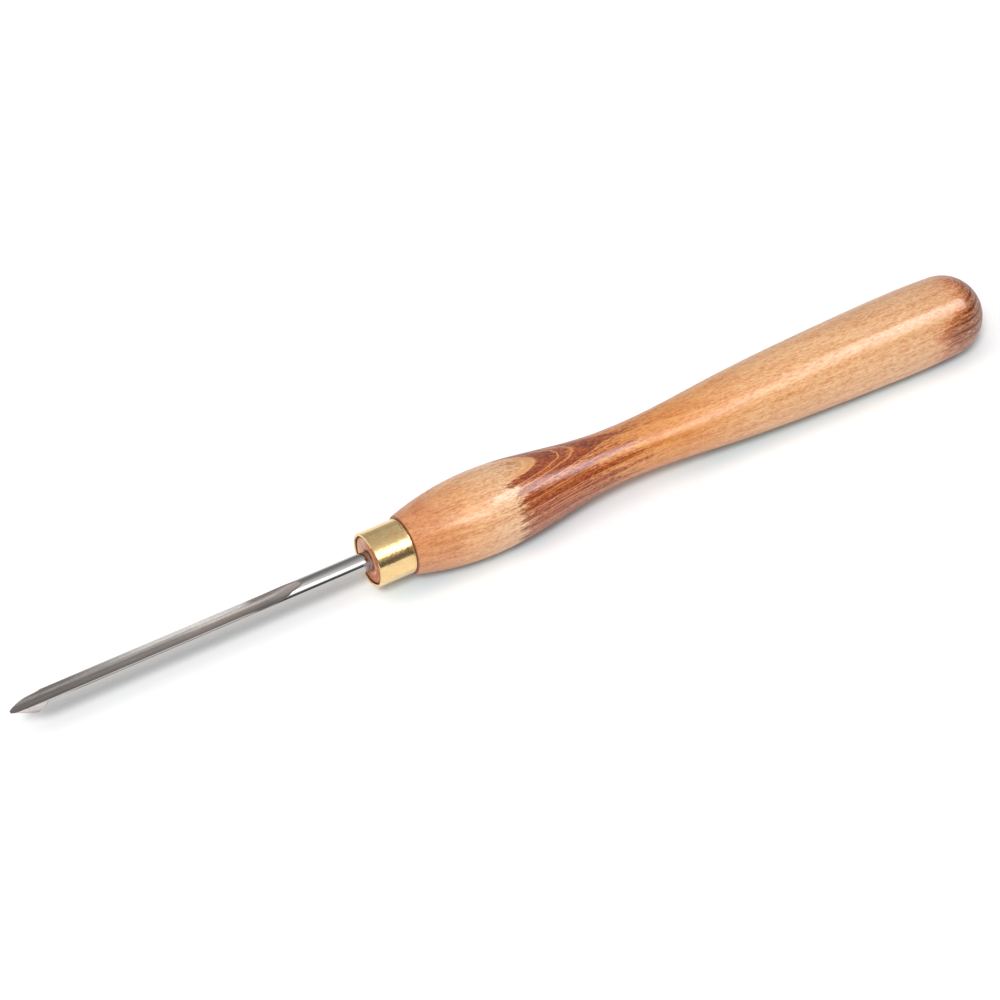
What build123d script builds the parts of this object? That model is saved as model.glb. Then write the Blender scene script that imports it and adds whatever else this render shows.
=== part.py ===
from build123d import *
from math import acos, asin, atan2, cos, degrees, radians, sin, sqrt, tan
import os

# A woodturner's detail gouge, lying on the two swells of its handle with the flute up.
# Millimetres, +Z up, the tool along X with the nose of the blade at -X.
# Places along the tool are measured from the nose, unless a note says otherwise.

# Bar
bar_dia = 8.0
blade_reach = 152.0         # nose to the front of the ferrule
tang_length = 60.0          # from the front of the ferrule into the handle
tang_chamfer = 0.8

# Flute, with heights above the bar's axis
flute_radius = 2.9          # round bottom of the groove
flute_floor = 0.2           # bottom of the groove
land_height = 1.47          # inner edges of the two lands, beside the groove
land_slope = 14.0           # degrees, each land falls towards the groove
flute_straight = 107.5      # nose to the start of the run-out
runout_radius = 36.0        # of the wheel that lifts out of the bar

# Fingernail grind
wing_sweep = 20.0           # how far the wings are swept back behind the nose
bevel_angle = 23.0          # degrees, under the nose
nose_flat = 0.2             # setback that the worn edge has lost

# Ferrule
ferrule_length = 16.0
ferrule_dia = 22.5
ferrule_wall = 1.2
ferrule_rim = 0.45          # rounding of the front rim
ferrule_burr = 0.25         # small chamfers of the bore and of the back edge
ferrule_clearance = 0.03    # between the tenon and the bore, on the radius

# Handle, measured from the shoulder behind the ferrule
handle_length = 270.0
shoulder_step = 0.95        # the shoulder stands out past the ferrule
shoulder_round = 0.9
bulge_at = 35.0
bulge_dia = 34.6
waist_at = 101.0
waist_dia = 22.1
swell_back = 34.0           # from the swell to the end of the butt
swell_dia = 34.6
dome_inset = 0.6            # the round butt's radius is less than the swell's

# Course of the two long curves: share of the way along, share of the change in radius
neck_course = ((0.44, 0.456), (0.742, 0.888))
swell_course = ((0.323, 0.446), (0.817, 0.936))

# Tenon and tang hole
tenon_recess = 0.6          # tenon's end behind the front of the ferrule
tenon_chamfer = 0.5
tang_clearance = 0.05       # between the tang and its hole, on the radius
hole_mouth = 0.45           # chamfer at the mouth of the hole
hole_spare = 2.0            # air behind the tang
drill_point = 118.0         # degrees

# Places along the tool
ferrule_front = blade_reach
shoulder = ferrule_front + ferrule_length
butt_end = shoulder + handle_length
bulge_place = shoulder + bulge_at
waist_place = shoulder + waist_at
swell_place = butt_end - swell_back
bar_radius = bar_dia / 2

# The tool rests on the bulge and on the swell, so its axis leans by their difference.
lean = asin((swell_dia - bulge_dia) / 2 / (swell_place - bulge_place))
forward = Vector(cos(lean), 0, sin(lean))
nose = Vector(0, 0, bulge_dia / 2) - forward * bulge_place
nose = nose + Vector(bulge_place - butt_end / 2, 0, 0)
tool_axis = Axis(nose, forward)

# Lengthwise upright plane through the axis: local X runs to the butt, local Y is up.
side = Plane(origin=nose, x_dir=forward, z_dir=(0, -1, 0))


def across(place):
    # Plane square to the tool: local X is across it and local Y is up.
    return Plane(origin=nose + forward * place, x_dir=(0, 1, 0), z_dir=forward)


# Blade: the cross-section of the flute
groove_centre = flute_floor + flute_radius
groove_half = sqrt(flute_radius**2 - (groove_centre - land_height) ** 2)
land_rise = tan(radians(land_slope))

# The land's outer edge is where its line meets the bar's surface.
land_zero = land_height - groove_half * land_rise
quad_a = 1 + land_rise**2
quad_b = land_zero * land_rise
wing_half = (sqrt(quad_b**2 - quad_a * (land_zero**2 - bar_radius**2)) - quad_b) / quad_a


def flute_height(half):
    # Height of the flute's surface at a distance from its middle.
    if half < groove_half:
        return groove_centre - sqrt(flute_radius**2 - half**2)
    return land_zero + half * land_rise


def grind_circle(setback):
    # Circle through both cutting edges and the bevel under them, at a distance behind the sharp nose.
    half = wing_half * sqrt(1 - (1 - setback / wing_sweep) ** 2)
    top = flute_height(half)
    bottom = flute_floor - setback * tan(radians(bevel_angle))
    radius = (half**2 + (top - bottom) ** 2) / (2 * (top - bottom))
    return bottom + radius, radius


# The grind is worked out at these shares of the way from the nose to the ends of the wings.
grind_shares = (0, 0.06, 0.15, 0.28, 0.45, 0.68, 1)
wing_end = wing_sweep - nose_flat
tang_end = ferrule_front + tang_length

# The flute's form reaches this far out, past the bar, and turns until its floor is as high.
reach = bar_dia
runout_turn = degrees(acos(1 - (reach - flute_floor) / runout_radius))

with BuildPart() as blade:
    # The ground tip: a horn of circles that opens from the nose to the ends of the wings.
    for share in grind_shares:
        centre, radius = grind_circle(nose_flat + wing_end * share)
        with BuildSketch(across(wing_end * share)):
            with Locations((0, centre)):
                Circle(radius)
    loft()
    with BuildSketch(across(0)):
        Circle(bar_radius)
    extrude(amount=wing_end, mode=Mode.INTERSECT)

    # The round bar behind it, down to the end of the tang.
    with BuildSketch(across(wing_end)):
        Circle(bar_radius)
    extrude(amount=tang_end - wing_end)
    tang_rim = blade.edges().filter_by(GeomType.CIRCLE).sort_by(tool_axis)[-1]
    chamfer(tang_rim, tang_chamfer)

    # The flute: one form, straight from beyond the nose and then lifted out along the wheel.
    with BuildSketch(across(flute_straight)) as flute_form:
        with BuildLine():
            bottom = ThreePointArc(
                (-groove_half, land_height), (0, flute_floor), (groove_half, land_height)
            )
            Polyline(
                bottom @ 1,
                (reach, land_zero + reach * land_rise),
                (reach, reach),
                (-reach, reach),
                (-reach, land_zero + reach * land_rise),
                bottom @ 0,
            )
        make_face()
    extrude(flute_form.sketch, amount=-(flute_straight + reach), mode=Mode.SUBTRACT)
    wheel_centre = across(flute_straight).from_local_coords((0, flute_floor + runout_radius, 0))
    wheel_axis = Axis(wheel_centre, (0, -1, 0))
    revolve(flute_form.sketch, axis=wheel_axis, revolution_arc=runout_turn, mode=Mode.SUBTRACT)
blade.part.label = "blade"

# Ferrule: a plain tube with a rounded front rim
with BuildPart() as ferrule:
    with BuildSketch(side):
        with Locations((ferrule_front, ferrule_dia / 2 - ferrule_wall)):
            Rectangle(ferrule_length, ferrule_wall, align=(Align.MIN, Align.MIN))
    revolve(axis=tool_axis)
    rims = ferrule.edges().filter_by(GeomType.CIRCLE)
    front_rims = rims.sort_by(tool_axis)[:2].sort_by(SortBy.RADIUS)
    back_rim = rims.sort_by(tool_axis)[2:].sort_by(SortBy.RADIUS)[-1]
    fillet(front_rims[-1], ferrule_rim)
    chamfer([front_rims[0], back_rim], ferrule_burr)
ferrule.part.label = "ferrule"

# Handle: one turning, with the tenon in front and the bored tang hole
tenon_front = ferrule_front + tenon_recess
tenon_radius = ferrule_dia / 2 - ferrule_wall - ferrule_clearance
hole_radius = bar_radius + tang_clearance
hole_end = tang_end + hole_spare
hole_tip = hole_end + hole_radius / tan(radians(drill_point / 2))

# Corners of the outline, as places and radii
shoulder_rim = (shoulder, ferrule_dia / 2 + shoulder_step)
bulge = (bulge_place, bulge_dia / 2)
waist = (waist_place, waist_dia / 2)
swell = (swell_place, swell_dia / 2)

# The butt is a ball, met in line by an arc that is level at the swell.
dome_radius = swell_dia / 2 - dome_inset
dome_middle = butt_end - dome_radius
dome_gap = dome_middle - swell_place
swell_arc = (dome_gap**2 + swell[1] ** 2 - dome_radius**2) / (2 * dome_inset)
dome_slope = atan2(dome_gap, swell_arc - swell[1])
dome_start = (
    dome_middle + dome_radius * sin(dome_slope),
    dome_radius * cos(dome_slope),
)
level = (1, 0)


def course(start, end, shares):
    # Points that steer the curve between two corners of the outline.
    run = end[0] - start[0]
    change = end[1] - start[1]
    return [(start[0] + run * along, start[1] + change * risen) for along, risen in shares]


with BuildPart() as handle:
    with BuildSketch(side):
        with BuildLine():
            TangentArc(bulge, shoulder_rim, tangent=(-1, 0))
            Spline(bulge, *course(bulge, waist, neck_course), waist, tangents=(level, level))
            Spline(waist, *course(waist, swell, swell_course), swell, tangents=(level, level))
            TangentArc(swell, dome_start, tangent=level)
            TangentArc(
                dome_start, (butt_end, 0), tangent=(cos(dome_slope), -sin(dome_slope))
            )
            Polyline(
                (butt_end, 0),
                (tenon_front, 0),
                (tenon_front, tenon_radius),
                (shoulder, tenon_radius),
                shoulder_rim,
            )
        make_face()
    revolve(axis=tool_axis)

    # The tang hole, with its countersunk mouth and the drill's point
    with BuildSketch(side):
        with BuildLine():
            Polyline(
                (tenon_front, 0),
                (tenon_front, hole_radius + hole_mouth),
                (tenon_front + hole_mouth, hole_radius),
                (hole_end, hole_radius),
                (hole_tip, 0),
                close=True,
            )
        make_face()
    revolve(axis=tool_axis, mode=Mode.SUBTRACT)

    front_rims = handle.edges().filter_by(GeomType.CIRCLE).sort_by(tool_axis).group_by(tool_axis)[0]
    chamfer(front_rims.sort_by(SortBy.RADIUS)[-1], tenon_chamfer)
    shoulder_rims = handle.faces().filter_by(GeomType.PLANE).sort_by(tool_axis)[-1].edges()
    fillet(shoulder_rims.sort_by(SortBy.RADIUS)[-1], shoulder_round)
handle.part.label = "handle"

os.makedirs("parts", exist_ok=True)
export_step(blade.part, "parts/blade.step")
export_step(ferrule.part, "parts/ferrule.step")
export_step(handle.part, "parts/handle.step")
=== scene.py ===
import math
from collections import namedtuple

import bpy
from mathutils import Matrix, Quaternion, Vector


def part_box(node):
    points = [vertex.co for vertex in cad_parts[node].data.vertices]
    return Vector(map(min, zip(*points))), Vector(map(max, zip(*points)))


# A woodturner's detail gouge on a white sweep: ground steel blade, brass ferrule, beech handle.
# The tool lies along X with its nose at -X and its flute up, and the camera stands on its near side, -Y.
# Lengths inside the materials are millimetres. In the dictionaries, a pair is where a soft passage begins
# and where it is complete, and three numbers are the two ends of a stretch and their softness. A noise is
# the length and the width of its patches, and then its detail and roughness where they aren't the usual.

degreesPerRadian = math.degrees(1)

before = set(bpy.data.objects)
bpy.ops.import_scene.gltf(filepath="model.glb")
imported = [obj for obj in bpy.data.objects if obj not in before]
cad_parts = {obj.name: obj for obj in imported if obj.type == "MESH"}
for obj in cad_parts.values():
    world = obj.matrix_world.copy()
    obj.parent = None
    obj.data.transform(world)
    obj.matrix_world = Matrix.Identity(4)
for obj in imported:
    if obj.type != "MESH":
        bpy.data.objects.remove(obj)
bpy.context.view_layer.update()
print("frame loaded:", sorted(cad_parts))

# Places read from the frame, in metres
ferruleLow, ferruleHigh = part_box("ferrule")
bladeLow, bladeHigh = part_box("blade")
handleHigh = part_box("handle")[1]
axisHeight = (ferruleLow.z + ferruleHigh.z) / 2

# The same in millimetres
mmPerMetre = 1000
barRadius = (bladeHigh.y - bladeLow.y) / 2 * mmPerMetre
bladeLength = (bladeHigh.x - bladeLow.x) * mmPerMetre
handleLength = (handleHigh.x - ferruleHigh.x) * mmPerMetre      # from the shoulder to the end of the butt


def tone(red, green, blue):
    # A colour as it is read off a screen, 0 to 255, turned into the light that it stands for.
    light = []
    for part in (red, green, blue):
        share = part / 255
        light.append(share / 12.92 if share <= 0.04045 else ((share + 0.055) / 1.055) ** 2.4)
    return (light[0], light[1], light[2], 1.0)


def grey(level):
    return (level, level, level, 1.0)


def weigh(weights, grain):
    # The sum of some values, each by its own weight, on top of a plain level.
    total = weights["plain"]
    for name, weight in weights.items():
        if name != "plain":
            total = total + grain[name] * weight
    return total


# A place on the tool, in millimetres along it, across it towards the far side, and up from its axis
Spot = namedtuple("Spot", "along across height")


def fromAxis(spot):
    return (spot.across * spot.across + spot.height * spot.height) ** 0.5


class Signal:
    # One value on its way through a material. Arithmetic on it adds Math nodes.
    def __init__(self, recipe, socket):
        self.recipe = recipe
        self.socket = socket

    def math(self, operation, *values):
        return self.recipe.node("Math", {"operation": operation}, dict(enumerate(values)))

    def __add__(self, other):
        return self.math("ADD", self, other)

    def __sub__(self, other):
        return self.math("SUBTRACT", self, other)

    def __rsub__(self, other):
        return self.math("SUBTRACT", other, self)

    def __mul__(self, other):
        return self.math("MULTIPLY", self, other)

    def __truediv__(self, other):
        return self.math("DIVIDE", self, other)

    def __pow__(self, other):
        return self.math("POWER", self, other)

    def __abs__(self):
        return self.math("ABSOLUTE", self)

    __radd__ = __add__
    __rmul__ = __mul__

    def fraction(self):
        return self.math("FRACT", self)

    def bearing(self, other):
        # The angle, in radians, that this value makes as a height over the other as a width.
        return self.math("ARCTAN2", self, other)


class Recipe:
    # The nodes of one material or of the world.
    def __init__(self, tree):
        self.tree = tree
        tree.nodes.clear()

    def node(self, kind, settings=None, values=None, output=0):
        made = self.tree.nodes.new("ShaderNode" + kind)
        for name, setting in (settings or {}).items():
            if name == "stops":
                self.setStops(made.color_ramp, setting)
            else:
                setattr(made, name, setting)
        for name, value in (values or {}).items():
            if isinstance(value, Signal):
                self.tree.links.new(value.socket, made.inputs[name])
            else:
                made.inputs[name].default_value = value
        return Signal(self, made.outputs[output])

    def setStops(self, ramp, stops):
        while len(ramp.elements) > 1:
            ramp.elements.remove(ramp.elements[-1])
        for index, (place, colour) in enumerate(stops):
            stop = ramp.elements[0] if index == 0 else ramp.elements.new(place)
            stop.position = place
            stop.color = colour

    def step(self, value, low, high):
        # 0 below low and 1 above high, with a soft passage between them.
        values = {"Value": value, "From Min": low, "From Max": high}
        return self.node("MapRange", {"interpolation_type": "SMOOTHSTEP"}, values)

    def window(self, value, low, high, soft):
        # 1 between low and high and 0 outside them, with soft ends.
        return self.step(value, low - soft, low + soft) * (1 - self.step(value, high - soft, high + soft))

    def vector(self, x, y, z):
        return self.node("CombineXYZ", None, {0: x, 1: y, 2: z})

    def axes(self, output):
        # One of the texture coordinates, as three values.
        spot = self.node("TexCoord", None, None, output)
        parts = self.node("SeparateXYZ", None, {0: spot}).socket.node.outputs
        return [Signal(self, part) for part in parts]

    def places(self, originX):
        # Every place on a piece, counted from one on the tool's axis.
        x, y, z = self.axes("Object")
        return Spot((x - originX) * mmPerMetre, y * mmPerMetre, (z - axisHeight) * mmPerMetre)

    def noise(self, x, y, z, detail=2.0, roughness=0.5):
        values = {"Vector": self.vector(x, y, z), "Scale": 1.0, "Detail": detail, "Roughness": roughness}
        return self.node("TexNoise", None, values)

    def patches(self, spot, length, width, detail=2.0, roughness=0.5):
        # Noise from 0 to 1, in patches of this length along the tool and this width across it.
        return self.noise(spot.along / length, spot.across / width, spot.height / width, detail, roughness)

    def wander(self, spot, *noise):
        # The same noise, but around 0.
        return self.patches(spot, *noise) - 0.5

    def dots(self, spot, length, width, core, edge):
        # Scattered long dots, each 1 within its core and 0 beyond its edge.
        place = self.vector(spot.along / length, spot.across / width, spot.height / width)
        distance = self.node("TexVoronoi", {"feature": "F1"}, {"Vector": place, "Scale": 1.0})
        return 1 - self.step(distance, core, edge)

    def mix(self, share, first, second, blend="MIX"):
        settings = {"data_type": "RGBA", "blend_type": blend, "clamp_factor": True}
        return self.node("Mix", settings, {0: share, 6: first, 7: second}, 2)

    def shade(self, colour, level):
        # The colour made lighter or darker by one value.
        return self.mix(1.0, colour, self.vector(level, level, level), "MULTIPLY")

    def ramp(self, value, stops):
        return self.node("ValToRGB", {"stops": stops}, {0: value})

    def tint(self, colour, value, stops):
        return self.mix(1.0, colour, self.ramp(value, stops), "MULTIPLY")

    def ray(self, kind):
        # 1 for light rays of one kind, such as the camera's, and 0 for the others.
        return self.node("LightPath", None, None, "Is " + kind + " Ray")

    def finish(self, surface, kind="OutputMaterial"):
        out = self.tree.nodes.new("ShaderNode" + kind)
        self.tree.links.new(surface.socket, out.inputs["Surface"])


def newMaterial(name):
    material = bpy.data.materials.new(name)
    material.use_nodes = True
    return material, Recipe(material.node_tree)


def dress(nodeName, material):
    # The CAD node keeps its mesh and gets this finish in its own slot.
    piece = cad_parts[nodeName]
    for slot in piece.material_slots:
        slot.material = material


# Handle: steamed beech under a clear lacquer, scorched behind the bulge and on the butt
handleLook = {
    "paleWood": tone(242, 200, 160),
    "warmWood": tone(208, 141, 94),
    "ringLine": tone(226, 152, 88),
    "rayTone": tone(178, 96, 50),
    "burntWood": tone(186, 88, 34),
    "burntDeepAndShade": tone(112, 36, 10),
    "buttDark": tone(102, 34, 12),
    "endGrain": tone(236, 186, 154),
    "endGrainWarm": tone(196, 112, 70),
    "endGrainDark": tone(92, 44, 26),

    # Tint of the clear wood, by the share of the handle's length behind the shoulder
    "browning": [
        (0.0, tone(228, 196, 170)),
        (0.04, tone(232, 200, 174)),
        (0.09, (0.97, 0.84, 0.68, 1)),
        (0.15, (1.03, 1.06, 1.06, 1)),
        (0.22, (1.01, 1.0, 0.92, 1)),
        (0.34, tone(240, 200, 148)),
        (0.45, tone(240, 204, 154)),
        (0.58, tone(250, 238, 217)),
        (0.85, tone(249, 245, 236)),
        (1.0, tone(236, 214, 196)),
    ],

    # Growth rings, which are levels counted down from the uppermost one
    "ringTilt": 10.0,               # degrees, the rings face up and a little to the far side
    "topRing": 16.0,                # height of the uppermost ring above the axis
    "ringRate": 0.4054,             # rings for each millimetre down from there
    "ringSpread": 0.00522,          # the rings grow wider further down
    "ringStart": 20,                # keeps the count of rings above zero
    "slowNoise": (70, 13, 1.0),     # the long bends of a ring
    "slowShift": 1.6,
    "quickNoise": (7, 2.5),         # its short bends
    "quickShift": 0.4,
    "lateWood": (0.25, 0.75),       # share of a ring over which it darkens
    "border": (0.455, 0.492),       # distance from a ring's middle, as a share of the ring
    "halfBorder": (0.4, 0.48),
    "thirdBorder": (0.3, 0.46),
    "thirdShift": 0.3,              # moves the thirds off the rings' own borders

    # Fibres, rays and pores. Dots are a length, a width, and the core and the edge as shares of them
    "grainTurn": 4.0,               # degrees between the rays and the length of the handle
    "fleckNoise": (1.7, 0.5, 2.0, 0.6),
    "dashNoise": (6, 0.7, 2.0, 0.6),
    "streakNoise": (45, 2.4, 3.0, 0.6),
    "raggedNoise": (22, 0.26),
    "rayDots": (4.4, 1.15, 0.16, 0.36),
    "poreDots": (10, 0.6, 0.1, 0.24),
    "poreSide": (-10, 2),           # across the handle, pores are fainter on the far side
    "poreSideLoss": 0.3,
    "poreFront": (25, 60),          # behind the shoulder, pores are deeper in front of this
    "poreFrontGain": 0.25,

    # Weights of the grain in each mixture, on top of a plain level
    "woodMix": {"plain": 0.28, "late": 0.22, "streak": 0.9, "dash": 1.3, "fleck": 2.2},
    "scorchMix": {"plain": -0.45, "late": 0.9, "streak": 1.2, "dash": 1.8, "fleck": 1.8},
    "burntMix": {"plain": 0.4, "late": 0.25, "fleck": 3.2, "dash": 2.4},
    "buttMix": {"plain": 0.62, "dash": 3.5, "streak": 1.5, "fleck": 2.0},

    # How strongly each layer of colour lies on the wood, 0 to 1
    "ringCover": 0.35,
    "rayCover": 0.3,
    "poreCover": 0.6,
    "scorchCover": 0.97,
    "lowLineCover": 0.75,
    "wideArchCover": 0.8,
    "buttHalfCover": 0.62,
    "buttThirdCover": 0.12,
    "lineCover": 0.8,

    # Scorch behind the bulge, in millimetres behind the shoulder and in levels of the rings
    "scorchStart": (39, 52.5),
    "scorchEnd": (66, 122),
    "startRagged": 7,               # how far its front wanders with the fibres
    "startDashed": 5,
    "endRagged": 60,                # how far its strokes run on towards the butt
    "crown": (14.9, 15.2),          # the layers on top are scorched less
    "crownLoss": 0.8,
    "scorchWeight": 1.15,           # of the scorch itself, before the grain breaks it up
    "scorchGrain": 0.5,
    "scorchEdge": (0.1, 0.95),
    "scorchFringe": (0.02, 0.35),
    "thinArch": (12.3, 12.52, 0.12),
    "wideArch": (15.1, 15.7, 0.3),
    "lowLayers": (9.5, 11.5),       # below these levels there are more pale lines
    "lowLineGaps": (-0.1, 0.1),     # values of the streaks that break those lines

    # Scorch of the butt, in millimetres from its end, and in heights above the axis
    "buttWarmth": (-34, -24),
    "buttScorch": (-31, -17),
    "buttTop": (7, 16),             # the scorch draws back over these heights
    "buttTopBack": 15,
    "buttFoot": (-9, 5),            # and it is fainter below these
    "footWarmth": 0.45,
    "footDark": 0.35,
    "buttRagged": 12,
    "buttDarkCover": 0.8,
    "buttDarkGrain": 0.6,

    # End grain of the tenon inside the ferrule
    "endGrainStop": (-8.0, -6.0),   # from the shoulder, hidden between the tenon and the ferrule
    "paleSide": (-1, 5),            # across, the far side is paler and the near side lies in painted shade
    "paleSideCover": 0.75,
    "tornNoise": (0.4, 1.2, 3.0, 0.65),     # radians round and millimetres outwards
    "tornContrast": 2.2,
    "crescentHighlight": (5.3, 6.2, 0.4),    # radius of the pale ring, a painted highlight
    "crescentWander": 1.6,
    "crescentSide": (-2.5, 0),      # it lies on the near side only
    "crackNoise": (1 / 7, 9, 2.0, 0.6),
    "crackSlice": 27,               # takes the cracks from another part of the noise
    "crackEdge": (0.58, 0.68),
    "crackCover": 0.75,
    "tenonRim": (8.8, 9.6),         # radius of the painted shade round the rim

    "shoulderLine": (0.05, 0.5),    # the thin dark line at the shoulder, dirt and painted shade in the step beside the ferrule

    "woodRoughness": 0.36,
    "fleckRoughness": 0.3,
    "woodShine": 0.12,
    "lacquer": 1.0,
    "lacquerEdge": (0.35, 0.9),     # from facing the eye to its outline, it shines less
    "lacquerLoss": 0.85,
    "lacquerRoughness": 0.2,
    "lacquerIndex": 1.5,
    "rayRelief": 0.5,
    "relief": 0.3,
    "reliefDepth": 0.00006,         # metres
}


def ringShare(rings, parts=1, shift=0.0):
    # How far a place is through its ring, or through its half or third of one, from 0 to 1.
    return (rings * parts + (handleLook["ringStart"] + shift)).fraction()


def beechGrain(r, spot):
    # What the wood is drawn with: its layers, fibres, rays and pores, each as a value over the handle.
    look = handleLook
    tilt = math.radians(look["ringTilt"])
    slow = r.wander(spot, *look["slowNoise"])
    quick = r.wander(spot, *look["quickNoise"])
    level = spot.height * math.cos(tilt) + spot.across * math.sin(tilt)
    level = level + slow * look["slowShift"] + quick * look["quickShift"]
    depth = look["topRing"] - level
    rings = depth * look["ringRate"] - depth * depth * look["ringSpread"]
    share = ringShare(rings)

    # Flecks, dashes, rays and pores run at a slight angle to the handle
    turn = math.radians(look["grainTurn"])
    turnedAcross = spot.across * math.cos(turn) + spot.along * math.sin(turn)
    turnedHeight = spot.height * math.cos(turn) - spot.along * math.sin(turn)
    turned = Spot(spot.along, turnedAcross, turnedHeight)
    return {
        "level": level,
        "late": r.step(share, *look["lateWood"]),
        "border": r.step(abs(share - 0.5), *look["border"]),
        "halfBorder": r.step(abs(ringShare(rings, 2) - 0.5), *look["halfBorder"]),
        "thirdBorder": r.step(abs(ringShare(rings, 3, look["thirdShift"]) - 0.5), *look["thirdBorder"]),
        "streak": r.wander(spot, *look["streakNoise"]),
        "ragged": r.wander(spot, *look["raggedNoise"]),
        "fleck": r.wander(turned, *look["fleckNoise"]),
        "dash": r.wander(turned, *look["dashNoise"]),
        "rays": r.dots(turned, *look["rayDots"]),
        "pores": r.dots(turned, *look["poreDots"]),
    }


def clearWood(r, spot, grain):
    # The wood without its scorches, browner in front, on the waist and near the butt.
    look = handleLook
    wood = r.mix(weigh(look["woodMix"], grain), look["paleWood"], look["warmWood"])
    wood = r.tint(wood, spot.along / handleLength, look["browning"])
    wood = r.mix(grain["border"] * look["ringCover"], wood, look["ringLine"])
    wood = r.mix(grain["rays"] * look["rayCover"], wood, look["rayTone"])
    poreCover = look["poreCover"] - r.step(spot.across, *look["poreSide"]) * look["poreSideLoss"]
    poreCover = poreCover + (1 - r.step(spot.along, *look["poreFront"])) * look["poreFrontGain"]
    return r.mix(grain["pores"] * poreCover, wood, look["rayTone"])


def scorchBulge(r, spot, grain, wood):
    # Scorch behind the bulge, short in front and fading in long strokes towards the butt.
    look = handleLook
    level, ragged = grain["level"], grain["ragged"]
    front = spot.along + ragged * look["startRagged"] + grain["dash"] * look["startDashed"]
    rise = r.step(front, *look["scorchStart"])
    fade = 1 - r.step(spot.along + ragged * look["endRagged"], *look["scorchEnd"])
    scorch = rise * fade * (1 - r.step(level, *look["crown"]) * look["crownLoss"])
    broken = scorch * look["scorchWeight"] + weigh(look["scorchMix"], grain) * look["scorchGrain"]
    burn = r.step(broken, *look["scorchEdge"]) * r.step(scorch, *look["scorchFringe"])
    burnt = r.mix(weigh(look["burntMix"], grain), look["burntWood"], look["burntDeepAndShade"])
    wood = r.mix(burn * look["scorchCover"], wood, burnt)

    # Pale lines between the layers, which the round of the bulge turns into arches
    thinArch = r.window(level, *look["thinArch"])
    wideArch = r.window(level, *look["wideArch"]) * look["wideArchCover"]
    wood = r.mix((grain["border"] + thinArch + wideArch) * rise * fade, wood, look["ringLine"])
    lowLines = grain["thirdBorder"] * (1 - r.step(level, *look["lowLayers"]))
    lowLines = lowLines * r.step(grain["streak"], *look["lowLineGaps"])
    return r.mix(lowLines * scorch * look["lowLineCover"], wood, look["ringLine"])


def scorchButt(r, spot, grain, wood):
    # Scorch of the butt, warm at first and then dark between pale ring lines.
    look = handleLook
    place = spot.along - r.step(spot.height, *look["buttTop"]) * look["buttTopBack"]
    place = place + grain["ragged"] * look["buttRagged"] - handleLength
    raised = r.step(spot.height, *look["buttFoot"])
    warm = r.step(place, *look["buttWarmth"]) * (look["footWarmth"] + raised * (1 - look["footWarmth"]))
    dark = r.step(place, *look["buttScorch"]) * (look["footDark"] + raised * (1 - look["footDark"]))
    darkGrain = look["buttDarkCover"] + weigh(look["scorchMix"], grain) * look["buttDarkGrain"]
    wood = r.mix(warm * weigh(look["buttMix"], grain), wood, look["burntWood"])
    wood = r.mix(dark * darkGrain, wood, look["buttDark"])
    wood = r.mix(warm * grain["halfBorder"] * look["buttHalfCover"], wood, look["ringLine"])
    return r.mix(warm * grain["thirdBorder"] * look["buttThirdCover"], wood, look["ringLine"])


def tenonEnd(r, spot, endMask, wood):
    # End grain of the tenon: warm, with radial cracks, painted shade on its near side and round its rim,
    # and a painted highlight in a pale ring.
    look = handleLook
    radius = fromAxis(spot)
    angle = spot.height.bearing(spot.across)
    torn = r.wander(Spot(angle, radius, 0), *look["tornNoise"])
    crack = r.patches(Spot(angle, radius, look["crackSlice"]), *look["crackNoise"])
    # Painted shade: the near side of the recessed face is darker, the far side paler
    paler = r.step(spot.across, *look["paleSide"]) * look["paleSideCover"]
    end = r.mix(paler + torn * look["tornContrast"], look["endGrainWarm"], look["endGrain"])
    # The pale ring is a painted highlight
    crescentHighlight = r.window(radius + torn * look["crescentWander"], *look["crescentHighlight"])
    crescentHighlight = crescentHighlight * (1 - r.step(spot.across, *look["crescentSide"]))
    end = r.mix(crescentHighlight * look["lineCover"], end, look["endGrain"])
    end = r.mix(r.step(crack, *look["crackEdge"]) * look["crackCover"], end, look["endGrainDark"])
    wood = r.mix(endMask, wood, end)
    # The dark rim is painted shade
    rim = endMask * r.step(radius + torn, *look["tenonRim"])
    return r.mix(rim * look["lineCover"], wood, look["endGrainDark"])


def beechHandle():
    look = handleLook
    material, r = newMaterial("lacquered_beech")
    spot = r.places(ferruleHigh.x)
    grain = beechGrain(r, spot)
    wood = clearWood(r, spot, grain)
    wood = scorchBulge(r, spot, grain, wood)
    wood = scorchButt(r, spot, grain, wood)
    endMask = 1 - r.step(spot.along, *look["endGrainStop"])
    wood = tenonEnd(r, spot, endMask, wood)
    # Dirt and painted shade in the step at the shoulder
    shoulderLine = (1 - r.step(spot.along, *look["shoulderLine"])) * (1 - endMask)
    wood = r.mix(shoulderLine * look["lineCover"], wood, look["burntDeepAndShade"])

    # The lacquer shines less at its outline, so that the white of the floor doesn't wash over the wood
    edge = r.node("LayerWeight", None, {"Blend": 0.5}, "Facing")
    shine = look["lacquer"] * (1 - r.step(edge, *look["lacquerEdge"]) * look["lacquerLoss"])
    bump = r.node("Bump", None, {
        "Strength": look["relief"],
        "Distance": look["reliefDepth"],
        "Height": grain["fleck"] + grain["dash"] - grain["rays"] * look["rayRelief"],
    })
    surface = r.node("BsdfPrincipled", None, {
        "Base Color": wood,
        "Roughness": look["woodRoughness"] + grain["fleck"] * look["fleckRoughness"],
        "Normal": bump,
        "Specular IOR Level": look["woodShine"],
        "Coat Weight": shine * (1 - endMask),
        "Coat Roughness": look["lacquerRoughness"],
        "Coat IOR": look["lacquerIndex"],
    })
    r.finish(surface)
    dress("handle", material)
    print("handle finished")
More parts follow.
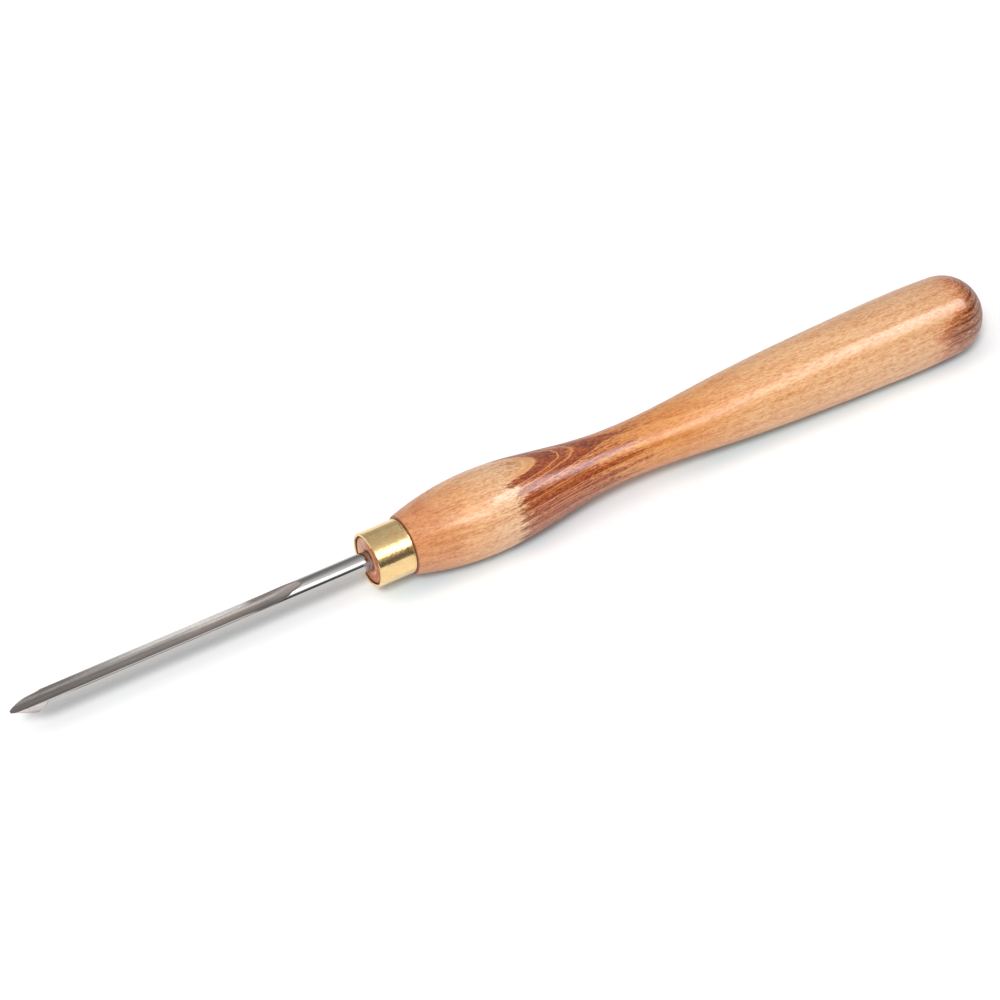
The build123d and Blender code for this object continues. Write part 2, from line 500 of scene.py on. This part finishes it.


# Ferrule: polished brass tube with faint turning rings, smears, a dull tarnish and a painted dark
# reflection along its near side
ferruleLook = {
    "brass": tone(243, 213, 159),
    "olive": tone(232, 187, 118),
    "bruise": tone(120, 70, 36),
    # Dark brass of the smears and of the painted reflection along the near side
    "smearAndReflection": tone(132, 98, 58),
    "smearNoise": (5, 2.5, 3.0, 0.6),
    "turningNoise": (0.12, 40, 2.0, 0.6),
    "mottleNoise": (0.9, 0.45, 3.0, 0.65),
    "speckNoise": (0.5, 0.5, 2.0, 0.7),
    "oliveTop": (-5, 7),          # the brass turns more olive over these heights above the axis, darker towards its top
    "tarnishMix": {"plain": 0.2, "top": 0.15, "smearAndReflection": 1.3, "mottle": 2.0},
    "roughMix": {"plain": 0.085, "smearAndReflection": 0.07, "mottle": 0.08},
    "reliefMix": {"plain": 0.0, "turning": 0.2, "mottle": 0.25, "smearAndReflection": 1.2, "bruise": 5.0},

    # The dark band along the near side, a painted reflection
    "reflectionBandPlace": (44, 56, 5),      # degrees from straight up, towards the near side
    "reflectionBandWander": 12,
    "reflectionBandFront": 0.35,             # how strong it is at the front rim
    "reflectionBandBack": (3, 14),           # from the front rim, it grows stronger over this stretch
    "reflectionBandGain": 0.5,
    "reflectionBandHoles": (-0.16, 0.04),    # values of the mottling that break it up

    "bruiseStart": (14.6, 15.6),    # from the front rim
    "bruiseSpeck": (0.5, 0.62),
    "bruiseCover": 0.7,
    "relief": 0.28,
    "reliefDepth": 0.00012,         # metres
}


def brassFerrule():
    look = ferruleLook
    material, r = newMaterial("polished_brass")
    spot = r.places(ferruleLow.x)
    bruise = r.step(spot.along, *look["bruiseStart"])
    speck = r.patches(spot, *look["speckNoise"])
    grain = {
        "top": r.step(spot.height, *look["oliveTop"]),
        "smearAndReflection": r.wander(spot, *look["smearNoise"]),
        "turning": r.wander(spot, *look["turningNoise"]),
        "mottle": r.wander(spot, *look["mottleNoise"]),
        "bruise": bruise * speck,
    }
    colour = r.mix(weigh(look["tarnishMix"], grain), look["brass"], look["olive"])

    # A painted dark reflection along its near side, stronger towards the handle
    turned = (spot.across * -1).bearing(spot.height) * degreesPerRadian
    smearAndReflection = r.window(turned + grain["smearAndReflection"] * look["reflectionBandWander"], *look["reflectionBandPlace"])
    smearAndReflection = smearAndReflection * (look["reflectionBandFront"] + r.step(spot.along, *look["reflectionBandBack"]) * look["reflectionBandGain"])
    colour = r.mix(smearAndReflection * r.step(grain["mottle"], *look["reflectionBandHoles"]), colour, look["smearAndReflection"])

    # The back edge is bruised where it was pressed against the shoulder
    bruised = bruise * r.step(speck, *look["bruiseSpeck"])
    colour = r.mix(bruised * look["bruiseCover"], colour, look["bruise"])
    bump = r.node("Bump", None, {
        "Strength": look["relief"],
        "Distance": look["reliefDepth"],
        "Height": weigh(look["reliefMix"], grain),
    })
    surface = r.node("BsdfPrincipled", None, {
        "Base Color": colour,
        "Metallic": 1.0,
        "Roughness": weigh(look["roughMix"], grain),
        "Normal": bump,
    })
    r.finish(surface)
    dress("ferrule", material)
    print("ferrule finished")


# Blade: bright round bar, dull ground groove between two satin lands, bevel ground on a fine wheel
bladeLook = {
    "steel": tone(192, 190, 188),
    "groove": tone(140, 132, 127),
    "land": tone(222, 216, 212),
    "bevel": tone(158, 149, 147),
    "bevelPaintedLight": tone(214, 203, 200),
    # Dark steel of the burr and the blots, also used for painted shade
    "burrAndShade": tone(98, 90, 84),
    # Dull steel coloured as a painted reflection of the tenon
    "dullSteelAndReflection": tone(168, 158, 160),

    # Tint of the groove by the share of the blade's length, tang included: darker at the tip and at
    # the start of the run-out, and lighter at its end
    "grooveTint": [
        (0.0, (0.72, 0.72, 0.73, 1)),
        (0.1, (0.76, 0.76, 0.77, 1)),
        (0.24, (1.0, 0.99, 0.98, 1)),
        (0.38, (1.1, 1.07, 1.05, 1)),
        (0.46, (1.0, 0.98, 0.97, 1)),
        (0.51, (0.82, 0.82, 0.82, 1)),
        (0.56, (1.25, 1.24, 1.23, 1)),
        (0.6, (1.75, 1.73, 1.7, 1)),
    ],

    # Where each face lies
    "skinDepth": (0.08, 0.03),      # under the bar's surface, the ground faces give way to it
    "upward": (0.25, 0.45),         # how far a ground face has to face up to belong to the flute
    "grooveMiddle": -0.14,          # across
    "grooveHalf": 2.24,             # half the width of the groove between the lands
    "landEdge": (0.08, 0.2),        # from the groove's edge
    "landEnd": (97, 104),           # from the nose, the lands end where the flute runs out

    # Scratches and clouds
    "lengthNoise": (14, 0.08, 3.0, 0.65),
    "crossNoise": (0.16, 5, 2.0, 0.6),
    "crossLean": 0.192,             # how far a cross scratch goes along for each millimetre across
    "cloudNoise": (9, 2, 3.0),
    "shadeMix": {"plain": 0.0, "cloud": 0.35, "cross": 0.5, "length": 0.4},
    "crossRelief": 0.5,

    # Painted shade in the groove and on the far land, across the blade or from the nose
    "nearWall": (0.4, 2.3),         # towards the near side
    "nearWallDark": 0.4,
    "farWall": (0.85, 2.2, 0.4),
    "farWallEnd": (60, 90),
    "farWallDark": 0.42,
    "middle": (-0.5, 0.5),          # between the near land and the far one
    "farLandDark": 0.9,
    "farLandFade": (16, 72),
    "farLandLoss": 0.8,             # how much of that darkness the fade takes away

    # Painted shade on the round bar and painted light on the bevel, across or in heights above the axis
    "barSide": (-1.2, 0.8),         # the far side is darker
    "barSideDark": 0.35,
    "barFoot": (-1.5, 2.5),         # below the axis
    "barFootDark": 0.28,
    # the bevel is painted lighter as it rises
    "bevelRise": (-2.0, 0.8),

    # Dark lines of burr, with painted shade in the crease along the near land, by radius
    "burrLine": (3.45, 3.6),
    "burrSide": (-1, 1),            # on the near land only
    "burrStart": (21, 27),          # from the nose
    "burrCover": 0.85,
    "endLine": (3.62, 3.78),
    "endLineStart": (108, 112),
    "endLineCover": 0.8,

    # The dull, blotted end beside the tenon, its colour a painted reflection of the tenon and painted
    # shade, from the nose
    "dullStart": (150.2, 151.4),
    "dullWander": 3,
    "dullSide": (-0.857, 1.143),    # below the axis and towards the near side, added up
    "dullSideShift": 1.7,           # it begins this much earlier there
    "dullRest": 0.2,                # how dull the other sides are
    "dullCover": 0.8,
    "blotNoise": (0.7, 0.7, 2.0, 0.6),
    "blotStart": (148.6, 150),
    "blotEdge": (0.58, 0.66),
    "blotCover": 0.8,

    "metalMix": {"plain": 1.0, "groove": -0.5, "land": -0.6, "dullAndReflection": -0.4},
    "roughMix": {"plain": 0.07, "ground": 0.31, "cloud": 0.06, "dullAndReflection": 0.22},
    "relief": 0.3,
    "reliefDepth": 0.00002,         # metres
}


def bladeFaces(r, spot, radius):
    # Which face of the blade a place is on, each as 1 on that face and 0 elsewhere.
    look = bladeLook
    ground = 1 - r.step(radius, *[barRadius - depth for depth in look["skinDepth"]])
    upward = r.step(r.axes("Normal")[2], *look["upward"]) * ground
    fromEdge = abs(spot.across - look["grooveMiddle"]) - look["grooveHalf"]
    land = upward * r.step(fromEdge, *look["landEdge"]) * (1 - r.step(spot.along, *look["landEnd"]))
    groove = upward * (1 - land)
    bevel = ground * (1 - upward)
    return {"ground": ground, "upward": upward, "land": land, "groove": groove, "bevel": bevel}


def bladeTones(r, spot, radius, faces):
    # The colour of each face, laid one over the other.
    look = bladeLook
    groove = r.tint(look["groove"], spot.along / bladeLength, look["grooveTint"])
    # Painted shade: the groove's near wall darker, and towards the tip its far wall and the far land
    nearWall = r.step(spot.across * -1, *look["nearWall"])
    groove = r.mix(nearWall * look["nearWallDark"], groove, look["burrAndShade"])
    farWall = r.window(spot.across, *look["farWall"]) * (1 - r.step(spot.along, *look["farWallEnd"]))
    groove = r.shade(groove, 1 - farWall * look["farWallDark"])
    landDark = look["farLandDark"] - r.step(spot.along, *look["farLandFade"]) * look["farLandLoss"]
    land = r.mix(landDark * r.step(spot.across, *look["middle"]), look["land"], look["burrAndShade"])
    # Painted light: the bevel lighter as it rises
    bevel = r.mix(r.step(spot.height, *look["bevelRise"]), look["bevel"], look["bevelPaintedLight"])

    # Painted shade: the bar darker on its far side and below its axis
    sideShade = 1 - r.step(spot.across, *look["barSide"]) * look["barSideDark"]
    footShade = 1 - r.step(spot.height * -1, *look["barFoot"]) * look["barFootDark"]
    colour = r.shade(look["steel"], sideShade * footShade)
    colour = r.mix(faces["groove"], colour, groove)
    colour = r.mix(faces["land"], colour, land)
    colour = r.mix(faces["bevel"], colour, bevel)

    # Burr along the near land, with painted shade in its crease, and round the end of the run-out
    burrAndShade = faces["land"] * r.step(radius, *look["burrLine"]) * (1 - r.step(spot.across, *look["burrSide"]))
    burrAndShade = burrAndShade * r.step(spot.along, *look["burrStart"]) * look["burrCover"]
    endLine = faces["upward"] * r.step(radius, *look["endLine"])
    endLine = endLine * r.step(spot.along, *look["endLineStart"]) * look["endLineCover"]
    return r.mix(burrAndShade + endLine, colour, look["burrAndShade"])


def steelBlade():
    look = bladeLook
    material, r = newMaterial("ground_steel")
    spot = r.places(bladeLow.x)
    radius = fromAxis(spot)
    faces = bladeFaces(r, spot, radius)
    colour = bladeTones(r, spot, radius, faces)

    # Scratches lie along the groove and across the faces that were ground on the wheel
    leaned = Spot(spot.along + spot.across * look["crossLean"], spot.across, spot.height)
    grain = {
        "length": r.wander(spot, *look["lengthNoise"]),
        "cross": r.wander(leaned, *look["crossNoise"]),
        "cloud": r.wander(spot, *look["cloudNoise"]),
    }
    colour = r.shade(colour, 1 + weigh(look["shadeMix"], grain) * faces["ground"])

    # Dull steel beside the tenon, coloured as a painted reflection of the tenon and painted shade, and a
    # few blots
    lowSide = r.step((spot.across + spot.height) * -1, *look["dullSide"])
    dullPlace = spot.along + lowSide * look["dullSideShift"] + grain["cloud"] * look["dullWander"]
    dullAndReflection = r.step(dullPlace, *look["dullStart"]) * (look["dullRest"] + lowSide * (1 - look["dullRest"]))
    colour = r.mix(dullAndReflection * look["dullCover"], colour, look["dullSteelAndReflection"])
    blot = r.step(r.patches(spot, *look["blotNoise"]), *look["blotEdge"])
    blot = blot * r.step(spot.along, *look["blotStart"])
    colour = r.mix(blot * look["blotCover"], colour, look["burrAndShade"])

    finishes = {**faces, **grain, "dullAndReflection": dullAndReflection}
    crossRelief = grain["cross"] * (1 - faces["groove"]) * look["crossRelief"]
    bump = r.node("Bump", None, {
        "Strength": look["relief"],
        "Distance": look["reliefDepth"],
        "Height": grain["length"] * faces["groove"] + crossRelief,
    })
    surface = r.node("BsdfPrincipled", None, {
        "Base Color": colour,
        "Metallic": weigh(look["metalMix"], finishes),
        "Roughness": weigh(look["roughMix"], finishes),
        "Normal": bump,
    })
    r.finish(surface)
    dress("blade", material)
    print("blade finished")


# Studio: a wide white floor, a soft key with a wider halo, and a room for metal and lacquer to mirror.
# In the room, x is how far a direction points towards the butt, 1 being straight along the tool, and the
# lean is its angle from straight up towards the near side, in degrees.
studioLook = {
    "floorSize": 60.0,              # metres
    "floorTone": grey(0.94),
    "floorGlow": grey(0.08),

    # The cooler, darker patch of floor beside the handle, a painted shadow, in metres
    "coolShadowTone": (0.62, 0.74, 0.8, 1.0),
    "coolLength": (-0.06, 0.215, 0.015),
    "coolWidth": (-0.0145, 0.002, 0.007),
    "coolWaist": (0.01, 0.075, 0.02),       # beside the waist it is fainter
    "coolWaistLoss": 0.5,

    # The suns, each with where it comes from, the width of its disc in degrees and its share of the
    # floor's light, and then the light of the room itself
    "keyFrom": (-0.5, -0.56, 1.0),
    "keySpread": 13.0,
    "keyShare": 0.47,
    "haloFrom": (-0.45, -0.33, 1.0),
    "haloSpread": 54.0,
    "haloShare": 0.37,
    "fillShare": 0.15,
    "fillTone": (0.98, 1.0, 1.02, 1.0),
    "fillFromFar": 1.75,
    "fillFromNear": 0.25,
    "fillTurn": (0, 60),            # lean

    # Grey of the walls by their lean, as the handle and the ferrule mirror them and as the blade does
    "walls": [
        (-90, 0.62), (-81, 0.46), (-66.6, 0.43), (-52.2, 0.66), (-21.6, 0.7), (-7.2, 0.58), (5.4, 0.54),
        (14.4, 0.7), (38.7, 0.88), (45.9, 0.42), (52.2, 0.26), (79.2, 0.22), (90, 0.6),
    ],
    "bladeWalls": [
        (-90, 0.62), (-81, 0.42), (-54, 0.36), (-30.6, 0.46), (-18, 0.76), (-5.94, 1.05), (18, 1.2),
        (50.4, 1.2), (61.2, 0.3), (68.4, 0.07), (86.4, 0.08), (90, 0.4),
    ],

    # Which x each stretch of the tool mirrors towards the camera, falling being where the handle grows
    # thinner towards the butt
    "bladeStart": (0.05, 0.15),
    "bladeEnd": (0.3125, 0.3175),
    "shankStart": (0.288, 0.3),
    "brassSpan": (0.316, 0.345, 0.005),
    "fallingStart": (0.34, 0.4),
    "neckSpan": (0.5, 0.58, 0.02),
    "bladeTurn": 11,                # degrees that the walls are turned for the blade
    "shankTurn": 5,                 # and further for the shank

    # The bright panel and its place
    "panelLight": 9.5,
    "panelTone": (0.68, 0.75, 0.79, 1.0),
    "panelLow": 24,                 # lean
    "panelHigh": 41,
    "panelSoft": 5,
    "panelSpan": (0.02, 0.8, 0.08),
    "panelMix": {"plain": 1.0, "blade": -0.42, "shank": -0.32, "brass": -0.8},
    "neckLoss": 0.2,
    "fallingLower": 10,             # degrees that its low end goes down there
    "brassTrim": (2, 5),            # degrees that the brass cuts off at its low and at its high end

    "shankBlack": (49, 90, 4),      # lean of the dark that the shank mirrors
    "shankBlackCover": 0.93,
    "endWall": (0.82, 0.95),
    "endWallLoss": 0.7,
}


def addFloor():
    look = studioLook
    bpy.ops.object.select_all(action="DESELECT")
    bpy.ops.mesh.primitive_plane_add(size=look["floorSize"], location=(0, 0, 0))
    floor = bpy.context.object
    floor.name = "white_floor"
    material, r = newMaterial("white_sweep")

    # Beside the handle the floor is painted cooler, against the warm light that the wood throws on it, and
    # darker, as a painted shadow
    floorX, floorY = r.axes("Object")[:2]
    coolShadow = r.window(floorX, *look["coolLength"]) * r.window(floorY, *look["coolWidth"])
    coolShadow = coolShadow * (1 - r.window(floorX, *look["coolWaist"]) * look["coolWaistLoss"])
    matt = r.node("BsdfPrincipled", None, {
        "Base Color": r.mix(coolShadow, look["floorTone"], look["coolShadowTone"]),
        "Roughness": 1.0,
        "Specular IOR Level": 0.0,
    })
    seen = r.ray("Camera") + r.ray("Glossy") + r.ray("Transmission")
    glow = r.node("Emission", None, {"Color": look["floorGlow"], "Strength": seen})
    r.finish(r.node("AddShader", None, {0: matt, 1: glow}))
    floor.data.materials.append(material)


def addSun(name, comesFrom, spread, share):
    # A sun with a soft disc. The share is what it gives to the level floor.
    direction = Vector(comesFrom).normalized()
    data = bpy.data.lights.new(name, "SUN")
    data.angle = math.radians(spread)
    data.energy = math.pi * share / direction.z
    sun = bpy.data.objects.new(name, data)
    sun.rotation_mode = "QUATERNION"
    sun.rotation_quaternion = direction.to_track_quat("Z", "Y")
    sun.visible_glossy = False
    bpy.context.scene.collection.objects.link(sun)


def addSuns():
    look = studioLook
    addSun("key", look["keyFrom"], look["keySpread"], look["keyShare"])
    addSun("halo", look["haloFrom"], look["haloSpread"], look["haloShare"])


def wallTone(r, lean, walls):
    # The grey of the walls over the half turn from level on the far side to level on the near side.
    return r.ramp((lean + 90) / 180, [((place + 90) / 180, grey(level)) for place, level in walls])


def mirroredRoom(r, x, lean, sides):
    # What metal and lacquer mirror: grey walls and a bright panel, dimmer in the metal.
    look = studioLook
    lowTrim, highTrim = look["brassTrim"]
    panelLow = look["panelLow"] + sides["brass"] * lowTrim
    panelLow = panelLow - r.step(x, *look["fallingStart"]) * look["fallingLower"]
    panelHigh = look["panelHigh"] - sides["brass"] * highTrim
    panel = r.window(lean, panelLow, panelHigh, look["panelSoft"]) * r.window(x, *look["panelSpan"])
    panel = panel * weigh(look["panelMix"], sides) * (1 - r.window(x, *look["neckSpan"]) * look["neckLoss"])
    walls = r.mix(panel, wallTone(r, lean, look["walls"]), look["panelTone"])
    walls = r.mix(sides["blade"], walls, wallTone(r, lean, look["bladeWalls"]))
    black = sides["shank"] * r.window(lean, *look["shankBlack"]) * look["shankBlackCover"]
    walls = r.mix(black, walls, grey(0))
    strength = (1 - r.step(x, *look["endWall"]) * look["endWallLoss"]) + panel * look["panelLight"]
    return r.node("Background", None, {"Color": walls, "Strength": strength})


def addRoom():
    # What lights the shadows, what the camera sees past the floor, and what metal and lacquer mirror.
    look = studioLook
    world = bpy.data.worlds.new("room")
    world.use_nodes = True
    bpy.context.scene.world = world
    r = Recipe(world.node_tree)
    x, y, z = r.axes("Generated")
    bladeSide = r.step(x, *look["bladeStart"]) * (1 - r.step(x, *look["bladeEnd"]))
    shankSide = bladeSide * r.step(x, *look["shankStart"])
    brassSide = r.window(x, *look["brassSpan"]) * (1 - bladeSide)
    lean = (y * -1).bearing(z) * degreesPerRadian
    lean = lean - bladeSide * look["bladeTurn"] - shankSide * look["shankTurn"]
    room = mirroredRoom(r, x, lean, {"blade": bladeSide, "shank": shankSide, "brass": brassSide})
    near = r.step(lean, *look["fillTurn"])
    fillLight = look["fillFromFar"] + near * (look["fillFromNear"] - look["fillFromFar"])
    fillLight = fillLight * look["fillShare"]
    fill = r.node("Background", None, {"Color": look["fillTone"], "Strength": fillLight})
    white = r.node("Background", None, {"Color": grey(1), "Strength": 1.0})
    lit = r.node("MixShader", None, {0: r.ray("Glossy"), 1: fill, 2: room})
    r.finish(r.node("MixShader", None, {0: r.ray("Camera"), 1: lit, 2: white}), "OutputWorld")


# Camera: where the photographer stood, in metres
cameraLook = {
    "target": (-0.006475, 0.0020, 0.0173),
    "azimuth": 30.09,               # degrees from the front, towards the nose
    "elevation": 45.82,
    "distance": 1.5213,
    "roll": -0.492,
    "lens": 139.92,                 # millimetres, on a sensor of this width
    "sensor": 36,
}


def addCamera():
    look = cameraLook
    azimuth, elevation = math.radians(look["azimuth"]), math.radians(look["elevation"])
    back = Vector((
        -math.sin(azimuth) * math.cos(elevation),
        -math.cos(azimuth) * math.cos(elevation),
        math.sin(elevation),
    ))
    data = bpy.data.cameras.new("camera")
    data.lens = look["lens"]
    data.sensor_width = look["sensor"]
    camera = bpy.data.objects.new("camera", data)
    camera.location = Vector(look["target"]) + back * look["distance"]
    camera.rotation_mode = "QUATERNION"
    roll = Quaternion((0, 0, 1), math.radians(look["roll"]))
    camera.rotation_quaternion = back.to_track_quat("Z", "Y") @ roll
    bpy.context.scene.collection.objects.link(camera)
    bpy.context.scene.camera = camera


beechHandle()
brassFerrule()
steelBlade()
addFloor()
addSuns()
addRoom()
addCamera()
bpy.context.scene.view_settings.view_transform = "Standard"
print("studio ready")
